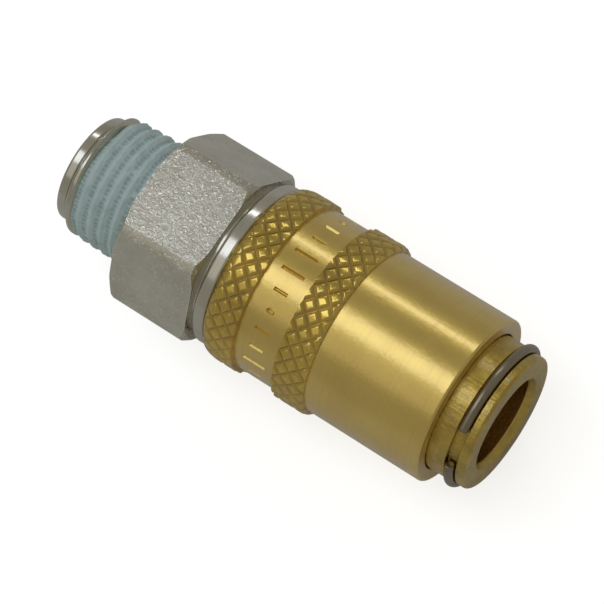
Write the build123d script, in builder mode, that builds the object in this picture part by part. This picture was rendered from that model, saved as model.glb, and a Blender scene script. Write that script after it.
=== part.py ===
"""Latching quick disconnect coupler with a taper pipe thread.

The axis is X. The origin is the centre of the hexagon's rear face, where the pipe thread
starts, +X points to the mouth that takes the plug, and +Z is square to one wrench flat.
It stands as it does with no plug in it: the valve holds the balls out, and the balls hold
the sleeve back against the collar.
"""

import os
from math import atan, cos, radians, sin, sqrt, tan

from build123d import *

# ---- driving dimensions, in mm: a radius is named radius, the rest are lengths and clearances ----

# wrench hexagon, neck and collar
across_flats = 17.0
corner_rise = 1.03
hex_length = 9.0
hex_rear_chamfer = 0.5
hex_rear_drop = 0.83
hex_front_chamfer = 0.35
hex_front_drop = 0.58
neck_wall = 1.22
neck_length = 0.5
collar_inset = 0.075
collar_length = 1.45
collar_rounding = 0.4

# taper pipe thread, 1/4 inch size: 19 threads to the inch on a 1 in 16 taper
thread_length = 8.87
thread_pitch = 1.337
gauge_radius = 13.157 / 2
gauge_length = 6.01
taper_per_side = 1 / 32
crest_shortening = 0.10
thread_depth = 0.70
crest_flat = 0.16
pilot_radius = 5.575
pilot_length = 1.0
pilot_rounding = 0.3
sealed_turns = 5
sealant_thickness = 0.06
sealant_fill = 0.38
flow_radius = 3.75
flow_chamfer = 0.4

# socket body, the tube that everything else is built on
guide_bore_radius = 4.40
chamber_wall = 1.15
spigot_step = 0.40
spigot_length = 5.75
spigot_front_gap = 0.02
joint_clearance = 0.03
entry_step = 0.175
entry_depth = 5.2
mouth_flare = 0.34
mouth_depth = 0.65
flange_step = 0.10
flange_length = 1.03
flange_rounding = 0.35
seat_land = 2.9

# wire snap ring in the socket body's last groove
wire_radius = 0.5
ring_groove_depth = 0.55
ring_groove_slack = 0.1
ring_seat_gap = 0.035
ring_stop_gap = 0.02
ring_gap_angle = 33.0
ring_gap_centre = 138.0

# locking balls
ball_count = 6
ball_radius = 1.6
ball_travel = 0.5
ball_gap = 0.10
ball_cover_gap = 0.13
ball_hole_clearance = 0.05
ball_hole_lip = 0.25
ball_cone_drop = 0.16
ball_step = 0.05

# sleeve
sleeve_gap = 0.05
sleeve_length = 24.4
sleeve_travel = 2.0
sleeve_clearance = 0.10
spring_room_wall = 0.675
spring_room_length = 13.0
spring_room_slack = 0.05
band_rise = 0.04
knurl_rise = 0.545
knurl_length = 3.6
knurl_rounding = 1.6
knurl_drop = 0.6
stamped_length = 4.65
front_knurl_length = 3.45
front_rounding = 0.25
pocket_gap = 0.05
pocket_lead = 0.15
ramp_extra_angle = 1.0
ramp_gap = 0.03

# valve: a collar that holds the balls out, and a poppet that shuts the seat
valve_travel = 5.0
valve_clearance = 0.08
valve_nose_gap = 0.012
valve_chamfer = 0.25
valve_wall = 1.02
window_radius = 0.95
window_count = 4
window_from_seat = 1.4
poppet_room = 0.55
poppet_length = 0.85
poppet_spigot_length = 1.3
press_clearance = 0.02
stem_radius = 1.5
stem_clearance = 0.10
boss_clearance = 0.30
boss_length = 1.5

# seals
valve_seal_section = 0.55
valve_seal_gap = 0.03
valve_seal_room = 0.15
plug_seal_section = 0.80
plug_seal_gap = 0.05
plug_seal_wall = 0.35
gasket_length = 1.0

# springs and the guide
sleeve_spring_wire = 0.3
sleeve_spring_turns = 5
spring_ring_length = 0.8
valve_spring_wire = 0.25
valve_spring_radius = 2.85
valve_spring_turns = 9
spring_end_gap = 0.06
guide_room = 0.30
guide_length = 1.2
guide_rim = 1.0
hub_wall = 0.60
hub_length = 3.0
guide_spoke = 1.3

# ---- radii that follow from them, from the axis outwards ----

valve_radius = guide_bore_radius - valve_clearance
valve_bore_radius = valve_radius - valve_wall
valve_seal_radius = valve_radius + valve_seal_gap + valve_seal_section
chamber_radius = valve_seal_radius + valve_seal_section + valve_seal_room
poppet_radius = chamber_radius - poppet_room
guide_radius = chamber_radius - guide_room
hub_radius = stem_radius + stem_clearance + hub_wall
boss_radius = valve_spring_radius - valve_spring_wire - boss_clearance
entry_radius = guide_bore_radius + entry_step
mouth_radius = entry_radius + mouth_flare

ball_seat_radius = valve_radius + ball_gap + ball_radius
ball_locked_reach = ball_seat_radius - ball_travel + ball_radius
ball_hole_radius = ball_radius + ball_hole_clearance
ball_cone_top = ball_seat_radius - ball_travel - ball_cone_drop
ball_cone_foot = sqrt(guide_bore_radius**2 - ball_hole_radius**2)

spigot_radius = chamber_radius + chamber_wall
land_for_balls = ball_locked_reach + ball_cover_gap
socket_radius = max(land_for_balls - sleeve_clearance, spigot_radius + spigot_step)
land_radius = socket_radius + sleeve_clearance
pocket_radius = land_radius + ball_travel + pocket_gap
spring_room_radius = land_radius + 2 * sleeve_spring_wire + sleeve_clearance + spring_room_slack
spring_outer_radius = spring_room_radius - sleeve_clearance
sleeve_spring_radius = spring_outer_radius - sleeve_spring_wire
sleeve_radius = max(spring_room_radius, pocket_radius) + spring_room_wall
band_radius = sleeve_radius + band_rise
knurl_radius = sleeve_radius + knurl_rise

ring_groove_radius = socket_radius - ring_groove_depth
ring_radius = ring_groove_radius + wire_radius + ring_seat_gap
flange_radius = socket_radius - flange_step
plug_seal_radius = valve_radius + plug_seal_gap + plug_seal_section
plug_seal_groove_radius = plug_seal_radius + plug_seal_section + plug_seal_gap

corner_radius = across_flats / 2 + corner_rise
neck_radius = spigot_radius + joint_clearance + neck_wall
collar_radius = sleeve_radius - collar_inset

# ---- places along the axis, from the thread to the mouth ----

thread_rear = -thread_length
thread_front = thread_rear + pilot_length
sealed_from = -sealed_turns * thread_pitch
neck_front = hex_length + neck_length
collar_front = neck_front + collar_length
socket_rear = collar_front - spigot_length
gasket_rear = socket_rear - gasket_length

sleeve_rear = collar_front + sleeve_gap
sleeve_front = sleeve_rear + sleeve_length
stamped_rear = sleeve_rear + knurl_length
front_knurl_rear = stamped_rear + stamped_length
front_knurl_front = front_knurl_rear + front_knurl_length
spring_room_front = sleeve_rear + spring_room_length

ring_x = sleeve_front + sleeve_travel + wire_radius + ring_stop_gap
ring_groove_rear = ring_x - wire_radius - ring_groove_slack / 2
ring_groove_front = ring_x + wire_radius + ring_groove_slack / 2
socket_front = ring_groove_front + flange_length
entry_rear = socket_front - entry_depth
ball_x = entry_rear - ball_hole_radius - ball_step

# The ball's path in the sleeve's frame is a line of this slope, and the ramp lies just outside it.
ball_slope = ball_travel / sleeve_travel
ball_lead = ball_seat_radius + ball_radius * sqrt(1 + ball_slope**2) - land_radius + ramp_gap
ramp_foot = ball_x - ball_lead / ball_slope
ramp_angle = atan(ball_slope) + radians(ramp_extra_angle)
ramp_top = ramp_foot + (pocket_radius - land_radius) / tan(ramp_angle)
pocket_front = ball_x + ball_radius + pocket_lead

# The valve's front edge stays just inside the line that the balls follow in the valve's frame.
valve_slope = ball_travel / valve_travel
valve_lead = ball_gap - ball_radius * (sqrt(1 + valve_slope**2) - 1) - valve_nose_gap
valve_front = ball_x + valve_lead / valve_slope

plug_seal_front = ball_x - ball_hole_radius - plug_seal_wall
plug_seal_x = plug_seal_front - plug_seal_section - plug_seal_gap
plug_seal_rear = plug_seal_x - plug_seal_section - plug_seal_gap
valve_seat = plug_seal_rear - seat_land
valve_seal_x = valve_seat - valve_seal_gap - valve_seal_section
poppet_front = valve_seal_x - valve_seal_section - valve_seal_gap
poppet_rear = poppet_front - poppet_length
stem_rear = gasket_rear + guide_length

os.makedirs("parts", exist_ok=True)


def crest_radius(x):
    """Radius of the thread's crests, which grows from the pilot to the hexagon."""
    return gauge_radius - crest_shortening + (x - thread_rear - gauge_length) * taper_per_side


def thread_outline(x_from, x_to, turns, swell, depth):
    """Crests and roots of so many turns between two places, with the crests moved out by swell."""
    points = []
    pitch = (x_to - x_from) / turns
    for turn in range(turns):
        root = x_from + turn * pitch
        crest = root + pitch / 2
        points.append((root, crest_radius(root) + swell - depth))
        points.append((crest - crest_flat, crest_radius(crest) + swell))
        points.append((crest + crest_flat, crest_radius(crest) + swell))
    points.append((x_to, crest_radius(x_to) + swell - depth))
    return points


# ---- nickel-plated hexagon body, with the pipe thread, the neck and the collar ----

with BuildPart() as hex_body:
    with BuildSketch(Plane.YZ):
        RegularPolygon(radius=across_flats / 2, side_count=6, major_radius=False)
    extrude(amount=hex_length)
    with BuildSketch(Plane.XZ):
        with BuildLine():
            Polyline(
                (0, 0),
                (0, corner_radius - hex_rear_drop),
                (hex_rear_chamfer, corner_radius),
                (hex_length - hex_front_chamfer, corner_radius),
                (hex_length, corner_radius - hex_front_drop),
                (hex_length, 0),
                close=True,
            )
        make_face()
    revolve(axis=Axis.X, mode=Mode.INTERSECT)
    with BuildSketch(Plane.XZ):
        with BuildLine():
            Polyline(
                (hex_length, 0),
                (hex_length, neck_radius),
                (neck_front, neck_radius),
                (neck_front, collar_radius - collar_rounding),
                (neck_front + collar_rounding, collar_radius),
                (collar_front, collar_radius),
                (collar_front, 0),
                close=True,
            )
        make_face()
    revolve(axis=Axis.X)
    with BuildSketch(Plane.XZ):
        with BuildLine():
            Polyline(
                (thread_rear, 0),
                (thread_rear, pilot_radius - pilot_rounding),
                (thread_rear + pilot_rounding, pilot_radius),
                (thread_front, pilot_radius),
                *thread_outline(thread_front, sealed_from, 1, 0, thread_depth),
                *thread_outline(sealed_from, 0, sealed_turns, 0, thread_depth)[1:],
                (0, 0),
                close=True,
            )
        make_face()
    revolve(axis=Axis.X)
    with BuildSketch(Plane.XZ):
        with BuildLine():
            Polyline(
                (thread_rear, 0),
                (thread_rear, flow_radius + flow_chamfer),
                (thread_rear + flow_chamfer, flow_radius),
                (gasket_rear, flow_radius),
                (gasket_rear, spigot_radius + joint_clearance),
                (collar_front, spigot_radius + joint_clearance),
                (collar_front, 0),
                close=True,
            )
        make_face()
    revolve(axis=Axis.X, mode=Mode.SUBTRACT)
hex_body.part.label = "hex_body"

# ---- pre-applied sealant on the thread, from the first full turns to the hexagon ----

valley_depth = thread_depth - sealant_fill

with BuildPart() as thread_sealant:
    inner = thread_outline(sealed_from, 0, sealed_turns, 0, thread_depth)
    outer = thread_outline(sealed_from, 0, sealed_turns, sealant_thickness, valley_depth)
    with BuildSketch(Plane.XZ):
        with BuildLine():
            Polyline(*inner, *reversed(outer), close=True)
        make_face()
    revolve(axis=Axis.X)
thread_sealant.part.label = "thread_sealant"

# ---- brass socket body ----

with BuildPart() as socket_body:
    with BuildSketch(Plane.XZ):
        with BuildLine():
            Polyline(
                (socket_rear, 0),
                (socket_rear, spigot_radius),
                (collar_front + spigot_front_gap, spigot_radius),
                (collar_front + spigot_front_gap, socket_radius),
                (ring_groove_rear, socket_radius),
                (ring_groove_rear, ring_groove_radius),
                (ring_groove_front, ring_groove_radius),
                (ring_groove_front, flange_radius),
                (socket_front - flange_rounding, flange_radius),
                (socket_front, flange_radius - flange_rounding),
                (socket_front, 0),
                close=True,
            )
        make_face()
    revolve(axis=Axis.X)
    with BuildSketch(Plane.XZ):
        with BuildLine():
            Polyline(
                (socket_rear, 0),
                (socket_rear, chamber_radius),
                (valve_seat, chamber_radius),
                (valve_seat, guide_bore_radius),
                (plug_seal_rear, guide_bore_radius),
                (plug_seal_rear, plug_seal_groove_radius),
                (plug_seal_front, plug_seal_groove_radius),
                (plug_seal_front, guide_bore_radius),
                (entry_rear, guide_bore_radius),
                (entry_rear, entry_radius),
                (socket_front - mouth_depth, entry_radius),
                (socket_front, mouth_radius),
                (socket_front, 0),
                close=True,
            )
        make_face()
    revolve(axis=Axis.X, mode=Mode.SUBTRACT)
    for number in range(ball_count):
        turn = radians(360 / ball_count * number)
        outward = Vector(0, cos(turn), sin(turn))
        with Locations(Plane(origin=Vector(ball_x, 0, 0) + outward * ball_cone_top, z_dir=outward)):
            Cylinder(
                ball_hole_radius,
                socket_radius,
                align=(Align.CENTER, Align.CENTER, Align.MIN),
                mode=Mode.SUBTRACT,
            )
        with Locations(Plane(origin=Vector(ball_x, 0, 0) + outward * ball_cone_foot, z_dir=outward)):
            Cone(
                ball_hole_radius - ball_hole_lip,
                ball_hole_radius,
                ball_cone_top - ball_cone_foot,
                align=(Align.CENTER, Align.CENTER, Align.MIN),
                mode=Mode.SUBTRACT,
            )
socket_body.part.label = "socket_body"

# ---- gasket between the socket body's rear face and the hexagon body ----

with BuildPart() as body_gasket:
    with BuildSketch(Plane.XZ):
        with BuildLine():
            Polyline(
                (gasket_rear, chamber_radius),
                (gasket_rear, spigot_radius),
                (socket_rear, spigot_radius),
                (socket_rear, chamber_radius),
                close=True,
            )
        make_face()
    revolve(axis=Axis.X)
body_gasket.part.label = "body_gasket"

# ---- ring that seals round the plug, and round the valve collar while there is none ----

with BuildPart() as plug_seal:
    with BuildSketch(Plane.XZ):
        with Locations((plug_seal_x, plug_seal_radius)):
            Circle(plug_seal_section)
    revolve(axis=Axis.X)
plug_seal.part.label = "plug_seal"

# ---- open wire ring that stops the sleeve ----

with BuildPart() as snap_ring:
    ring_start = ring_gap_centre + ring_gap_angle / 2
    with BuildLine(Plane.YZ.offset(ring_x)) as ring_line:
        CenterArc((0, 0), ring_radius, ring_start, 360 - ring_gap_angle)
    with BuildSketch(Plane(origin=ring_line.line @ 0, z_dir=ring_line.line % 0)):
        Circle(wire_radius)
    sweep()
snap_ring.part.label = "snap_ring"

# ---- guide for the valve stem, held between the gasket's step and the valve spring ----

with BuildPart() as valve_guide:
    with BuildSketch(Plane.YZ.offset(gasket_rear)):
        Circle(guide_radius)
        Circle(guide_radius - guide_rim, mode=Mode.SUBTRACT)
        Circle(hub_radius)
        for spoke_angle in (90, 210, 330):
            with PolarLocations((hub_radius + guide_radius - guide_rim) / 2, 1, spoke_angle):
                Rectangle(guide_radius - hub_radius - guide_rim / 2, guide_spoke)
    extrude(amount=guide_length)
    with BuildSketch(Plane.YZ.offset(gasket_rear)):
        Circle(hub_radius)
    extrude(amount=hub_length)
    with BuildSketch(Plane.YZ.offset(gasket_rear)):
        Circle(stem_radius + stem_clearance)
    extrude(amount=hub_length, mode=Mode.SUBTRACT)
valve_guide.part.label = "valve_guide"

# ---- valve: collar, poppet with its stem, and the seal between them ----

with BuildPart() as valve_collar:
    with BuildSketch(Plane.XZ):
        with BuildLine():
            Polyline(
                (poppet_front, valve_bore_radius),
                (poppet_front, valve_radius),
                (valve_front - valve_chamfer, valve_radius),
                (valve_front, valve_radius - valve_chamfer),
                (valve_front, valve_bore_radius),
                close=True,
            )
        make_face()
    revolve(axis=Axis.X)
    for number in range(window_count):
        turn = radians(360 / window_count * number)
        outward = Vector(0, cos(turn), sin(turn))
        with Locations(Plane(origin=(valve_seat + window_from_seat, 0, 0), z_dir=outward)):
            Cylinder(
                window_radius,
                socket_radius,
                align=(Align.CENTER, Align.CENTER, Align.MIN),
                mode=Mode.SUBTRACT,
            )
valve_collar.part.label = "valve_collar"

with BuildPart() as valve_poppet:
    with BuildSketch(Plane.XZ):
        with BuildLine():
            Polyline(
                (stem_rear, 0),
                (stem_rear, stem_radius),
                (poppet_rear - boss_length, stem_radius),
                (poppet_rear - boss_length, boss_radius),
                (poppet_rear, boss_radius),
                (poppet_rear, poppet_radius),
                (poppet_front, poppet_radius),
                (poppet_front, valve_bore_radius - press_clearance),
                (poppet_front + poppet_spigot_length, valve_bore_radius - press_clearance),
                (poppet_front + poppet_spigot_length, 0),
                close=True,
            )
        make_face()
    revolve(axis=Axis.X)
valve_poppet.part.label = "valve_poppet"

with BuildPart() as valve_seal:
    with BuildSketch(Plane.XZ):
        with Locations((valve_seal_x, valve_seal_radius)):
            Circle(valve_seal_section)
    revolve(axis=Axis.X)
valve_seal.part.label = "valve_seal"

# ---- springs, and the ring that carries the sleeve on the front end of its spring ----

valve_spring_rear = gasket_rear + guide_length + spring_end_gap + valve_spring_wire
valve_spring_front = poppet_rear - spring_end_gap - valve_spring_wire

with BuildPart() as valve_spring:
    with BuildLine() as valve_coil:
        Helix(
            pitch=(valve_spring_front - valve_spring_rear) / valve_spring_turns,
            height=valve_spring_front - valve_spring_rear,
            radius=valve_spring_radius,
            center=(valve_spring_rear, 0, 0),
            direction=(1, 0, 0),
        )
    with BuildSketch(Plane(origin=valve_coil.line @ 0, z_dir=valve_coil.line % 0)):
        Circle(valve_spring_wire)
    sweep(is_frenet=True)
valve_spring.part.label = "valve_spring"

spring_ring_front = spring_room_front - sleeve_gap
spring_ring_rear = spring_ring_front - spring_ring_length
sleeve_spring_rear = collar_front + spring_end_gap + sleeve_spring_wire
sleeve_spring_front = spring_ring_rear - spring_end_gap - sleeve_spring_wire

with BuildPart() as sleeve_spring:
    with BuildLine() as sleeve_coil:
        Helix(
            pitch=(sleeve_spring_front - sleeve_spring_rear) / sleeve_spring_turns,
            height=sleeve_spring_front - sleeve_spring_rear,
            radius=sleeve_spring_radius,
            center=(sleeve_spring_rear, 0, 0),
            direction=(1, 0, 0),
        )
    with BuildSketch(Plane(origin=sleeve_coil.line @ 0, z_dir=sleeve_coil.line % 0)):
        Circle(sleeve_spring_wire)
    sweep(is_frenet=True)
sleeve_spring.part.label = "sleeve_spring"

with BuildPart() as spring_ring:
    with BuildSketch(Plane.XZ):
        with BuildLine():
            Polyline(
                (spring_ring_rear, land_radius),
                (spring_ring_rear, spring_outer_radius),
                (spring_ring_front, spring_outer_radius),
                (spring_ring_front, land_radius),
                close=True,
            )
        make_face()
    revolve(axis=Axis.X)
spring_ring.part.label = "spring_ring"

# ---- sleeve: knurled, banded and smooth outside, with the ball pocket and ramp inside ----

with BuildPart() as sleeve:
    with BuildSketch(Plane.XZ):
        with BuildLine():
            Polyline(
                (sleeve_rear, spring_room_radius),
                (sleeve_rear, knurl_radius - knurl_drop),
                (sleeve_rear + knurl_rounding, knurl_radius),
                (stamped_rear, knurl_radius),
                (stamped_rear, band_radius),
                (front_knurl_rear, band_radius),
                (front_knurl_rear, knurl_radius),
                (front_knurl_front - knurl_drop, knurl_radius),
                (front_knurl_front, sleeve_radius),
                (sleeve_front - front_rounding, sleeve_radius),
                (sleeve_front, sleeve_radius - front_rounding),
                (sleeve_front, land_radius),
                (pocket_front, land_radius),
                (pocket_front, pocket_radius),
                (ramp_top, pocket_radius),
                (ramp_foot, land_radius),
                (spring_room_front, land_radius),
                (spring_room_front, spring_room_radius),
                close=True,
            )
        make_face()
    revolve(axis=Axis.X)
sleeve.part.label = "sleeve"

# ---- locking balls, out against the sleeve's pocket ----

locking_balls = []
for number in range(ball_count):
    turn = radians(360 / ball_count * number)
    with BuildPart() as locking_ball:
        with Locations((ball_x, ball_seat_radius * cos(turn), ball_seat_radius * sin(turn))):
            Sphere(ball_radius)
    locking_ball.part.label = f"locking_ball_{number + 1}"
    locking_balls.append(locking_ball)

# ---- what the mechanism needs, printed so that a changed size shows ----

print("mouth at", round(socket_front, 3), "balls at", round(ball_x, 3), "valve seat at", round(valve_seat, 3))
print("balls reach", round(ball_locked_reach + ball_travel, 3), "in a pocket of", round(pocket_radius, 3))
print("locked they reach", round(ball_locked_reach, 3), "under a land of", round(land_radius, 3))

for piece in (
    hex_body,
    thread_sealant,
    socket_body,
    body_gasket,
    plug_seal,
    snap_ring,
    valve_guide,
    valve_collar,
    valve_poppet,
    valve_seal,
    valve_spring,
    sleeve_spring,
    spring_ring,
    sleeve,
    *locking_balls,
):
    export_step(piece.part, f"parts/{piece.part.label}.step")
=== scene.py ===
import math
import random

import bmesh
import bpy
from mathutils import Matrix, Vector, noise


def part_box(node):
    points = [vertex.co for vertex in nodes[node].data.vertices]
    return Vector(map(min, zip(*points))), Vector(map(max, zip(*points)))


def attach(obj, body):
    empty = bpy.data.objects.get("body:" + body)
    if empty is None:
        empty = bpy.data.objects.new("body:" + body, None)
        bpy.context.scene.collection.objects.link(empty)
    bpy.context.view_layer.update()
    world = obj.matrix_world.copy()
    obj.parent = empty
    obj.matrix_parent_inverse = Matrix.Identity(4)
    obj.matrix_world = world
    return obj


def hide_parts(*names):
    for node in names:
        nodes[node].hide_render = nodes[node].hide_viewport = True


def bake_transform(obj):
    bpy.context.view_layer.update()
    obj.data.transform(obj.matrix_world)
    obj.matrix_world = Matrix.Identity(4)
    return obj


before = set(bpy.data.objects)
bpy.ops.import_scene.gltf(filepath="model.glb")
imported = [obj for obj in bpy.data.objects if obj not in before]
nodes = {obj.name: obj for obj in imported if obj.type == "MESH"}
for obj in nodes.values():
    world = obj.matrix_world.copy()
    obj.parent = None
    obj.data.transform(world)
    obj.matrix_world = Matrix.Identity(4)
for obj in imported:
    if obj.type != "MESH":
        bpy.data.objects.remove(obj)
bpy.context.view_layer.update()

mm = 0.001          # sizes below are in millimetres, the scene is in metres
fullTurn = 2 * math.pi


def span(node):
    # rear end, front end and outer radius of a CAD node about the X axis, in millimetres
    low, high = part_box(node)
    return low.x / mm, high.x / mm, max(high.y, high.z) / mm


threadRear, collarFront, hexRadius = span("hex_body")
sealantRear, sealantFront, _ = span("thread_sealant")
socketRear, socketFront, socketRadius = span("socket_body")
sleeveRear, sleeveFront, knurlRadius = span("sleeve")
ringRear, ringFront, ringRadius = span("snap_ring")
ballRear, ballFront, _ = span("locking_ball_1")
sealRear, sealFront, _ = span("plug_seal")
flowRadius = 3.75       # the bore through the pipe thread and the hexagon
print("frame read")


# mesh helpers

def turnedBlank(outline, steps=192, roundSegments=4, support=0.08):
    # a ring turned about X from a closed outline of (x, radius, corner rounding)
    bm = bmesh.new()
    corners = [bm.verts.new((x, 0, radius)) for x, radius, rounding in outline]
    bm.faces.new(corners)
    for corner, (x, radius, rounding) in zip(corners, outline):
        if rounding:
            bmesh.ops.bevel(bm, geom=[corner], offset=rounding, offset_type="OFFSET", segments=roundSegments,
                            profile=0.5, affect="VERTICES", material=-1)
    bm.faces.ensure_lookup_table()
    loop = [vert.co.copy() for vert in bm.faces[0].verts]
    bm.clear()
    ring = []
    for here, there in zip(loop, loop[1:] + loop[:1]):
        ring.append(here)
        gap = (there - here).length
        if gap > 4 * support:       # a line near each end keeps the long faces evenly shaded
            ring.append(here.lerp(there, support / gap))
            ring.append(here.lerp(there, 1 - support / gap))
    verts = [bm.verts.new(place) for place in ring]
    edges = [bm.edges.new(pair) for pair in zip(verts, verts[1:] + verts[:1])]
    bmesh.ops.spin(bm, geom=verts + edges, cent=(0, 0, 0), axis=(1, 0, 0), dvec=(0, 0, 0), angle=fullTurn,
                   steps=steps, use_merge=True, use_duplicate=False)
    bmesh.ops.remove_doubles(bm, verts=bm.verts[:], dist=1e-5)
    bmesh.ops.recalc_face_normals(bm, faces=bm.faces[:])
    return bm


def objectFrom(bm, name, *materials):
    bmesh.ops.scale(bm, vec=(mm, mm, mm), verts=bm.verts[:])
    mesh = bpy.data.meshes.new(name)
    bm.to_mesh(mesh)
    bm.free()
    piece = bpy.data.objects.new(name, mesh)
    bpy.context.scene.collection.objects.link(piece)
    for material in materials:
        mesh.materials.append(material)
    return piece


def smoothShade(piece, degrees=32):
    piece.data.shade_smooth()
    piece.data.set_sharp_from_angle(angle=math.radians(degrees))


def place(piece, body, slot, *replaced):
    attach(piece, body)
    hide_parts(*replaced)
    print(piece.name, len(piece.data.polygons), "faces")


def applyBoolean(piece, cutter, operation):
    change = piece.modifiers.new("shape", "BOOLEAN")
    change.operation = operation
    change.solver = "EXACT"
    change.object = cutter
    shaped = bpy.data.meshes.new_from_object(piece.evaluated_get(bpy.context.evaluated_depsgraph_get()))
    piece.modifiers.clear()
    plain = piece.data
    piece.data = shaped
    bpy.data.meshes.remove(plain)
    shaped.name = piece.name
    used = cutter.data
    bpy.data.objects.remove(cutter)
    bpy.data.meshes.remove(used)


def closeInside(bm, innerRadius):
    # turns an open sleeve of skin into a closed ring: its two rims go in to one radius and are joined
    rims = [edge for edge in bm.edges if edge.is_boundary]
    made = bmesh.ops.extrude_edge_only(bm, edges=rims)["geom"]
    for vert in [item for item in made if isinstance(item, bmesh.types.BMVert)]:
        across = Vector((0, vert.co.y, vert.co.z)).normalized() * innerRadius
        vert.co = (vert.co.x, across.y, across.z)
    inner = [item for item in made if isinstance(item, bmesh.types.BMEdge) and item.is_boundary]
    bmesh.ops.bridge_loops(bm, edges=inner)
    bmesh.ops.recalc_face_normals(bm, faces=bm.faces[:])


def trimEnds(bm, rear, front):
    for x, side in ((rear, -1), (front, 1)):
        bmesh.ops.bisect_plane(bm, geom=bm.verts[:] + bm.edges[:] + bm.faces[:], dist=1e-5,
                               plane_co=(x, 0, 0), plane_no=(side, 0, 0), clear_outer=True)


def ease(value):
    value = min(max(value, 0.0), 1.0)
    return value * value * (3 - 2 * value)


# shader helpers

def addNode(tree, kind, inputs=None, **settings):
    # inputs are values, or another node's output to link from
    made = tree.nodes.new(kind)
    for key, value in settings.items():
        setattr(made, key, value)
    for key, value in (inputs or {}).items():
        if isinstance(value, bpy.types.NodeSocket):
            tree.links.new(value, made.inputs[key])
        else:
            made.inputs[key].default_value = value
    return made


def newGroup(name, inputs, outputs):
    group = bpy.data.node_groups.new(name, "ShaderNodeTree")
    for label, value in inputs.items():
        group.interface.new_socket(label, in_out="INPUT", socket_type="NodeSocketFloat").default_value = value
    for label in outputs:
        group.interface.new_socket(label, in_out="OUTPUT", socket_type="NodeSocketFloat")
    return group, group.nodes.new("NodeGroupInput").outputs, group.nodes.new("NodeGroupOutput").inputs


def perMetre(tree, perMm):
    return addNode(tree, "ShaderNodeMath", {0: perMm, 1: 1000.0}, operation="MULTIPLY").outputs[0]


def objectPlace(tree):
    return addNode(tree, "ShaderNodeTexCoord").outputs["Object"]


def stretched(tree, along, across):
    # coordinates with their own scale along the axis and across it
    scale = addNode(tree, "ShaderNodeCombineXYZ", {"X": along, "Y": across, "Z": across}).outputs["Vector"]
    return addNode(tree, "ShaderNodeVectorMath", {0: objectPlace(tree), 1: scale},
                   operation="MULTIPLY").outputs[0]


def remap(tree, value, low, high, toLow=0.0, toHigh=1.0):
    return addNode(tree, "ShaderNodeMapRange", {"Value": value, "From Min": low, "From Max": high,
                                                "To Min": toLow, "To Max": toHigh}).outputs["Result"]


def mixColour(tree, factor, first, second, blend="MIX"):
    return addNode(tree, "ShaderNodeMix", {0: factor, 6: first, 7: second}, data_type="RGBA",
                   blend_type=blend).outputs[2]


# shared effects: fine turned rings, plating grain, handling marks, and rubbed edges that are part wear and
# part painted highlight

def turnedRingsGroup():
    group, given, result = newGroup("turnedRings", {"Rings per mm": 9.0, "Waviness": 0.05},
                                    ["Height", "Deep"])
    fine = addNode(group, "ShaderNodeTexNoise", {
        "Vector": stretched(group, perMetre(group, given["Rings per mm"]),
                            perMetre(group, given["Waviness"])),
        "Scale": 1.0, "Detail": 3.0, "Roughness": 0.7}).outputs["Fac"]
    group.links.new(fine, result["Height"])
    group.links.new(remap(group, fine, 0.56, 0.74), result["Deep"])
    return group


def platingGrainGroup():
    group, given, result = newGroup("platingGrain", {"Grains per mm": 3.0, "Breakup": 0.5},
                                    ["Height", "Tops"])
    density = perMetre(group, given["Grains per mm"])
    broad = addNode(group, "ShaderNodeTexNoise",
                    {"Vector": objectPlace(group), "Scale": density, "Detail": 2.0,
                                                  "Roughness": 0.55, "Distortion": 0.8}).outputs["Fac"]
    doubled = addNode(group, "ShaderNodeMath", {0: density, 1: 1.7}, operation="MULTIPLY").outputs[0]
    small = addNode(group, "ShaderNodeTexVoronoi", {"Vector": objectPlace(group), "Scale": doubled},
                    feature="SMOOTH_F1").outputs["Distance"]
    both = addNode(group, "ShaderNodeMix", {0: given["Breakup"], 2: broad, 3: small}).outputs[0]
    group.links.new(both, result["Height"])
    # short crooked flecks: thin lines where the noise crosses its middle, kept in scattered places only
    off = addNode(group, "ShaderNodeMath", {0: broad, 1: 0.5}, operation="SUBTRACT").outputs[0]
    off = addNode(group, "ShaderNodeMath", {0: off}, operation="ABSOLUTE").outputs[0]
    line = remap(group, off, 0.0, 0.08, 1.0, 0.0)
    scatter = addNode(group, "ShaderNodeTexNoise",
                      {"Vector": objectPlace(group), "Scale": doubled, "Detail": 1.0})
    kept = remap(group, scatter.outputs["Fac"], 0.5, 0.57)
    flecks = addNode(group, "ShaderNodeMath", {0: line, 1: kept}, operation="MULTIPLY").outputs[0]
    group.links.new(flecks, result["Tops"])
    return group


def handlingGroup():
    group, given, result = newGroup("handling", {"Clouds per mm": 0.25, "Specks per mm": 4.5},
                                    ["Clouds", "Specks"])
    clouds = addNode(group, "ShaderNodeTexNoise", {
        "Vector": objectPlace(group), "Scale": perMetre(group, given["Clouds per mm"]), "Detail": 5.0,
        "Roughness": 0.6}).outputs["Fac"]
    group.links.new(remap(group, clouds, 0.35, 0.7), result["Clouds"])
    specks = addNode(group, "ShaderNodeTexNoise", {
        "Vector": objectPlace(group), "Scale": perMetre(group, given["Specks per mm"]),
        "Detail": 1.0}).outputs["Fac"]
    group.links.new(remap(group, specks, 0.76, 0.82), result["Specks"])
    return group


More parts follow.
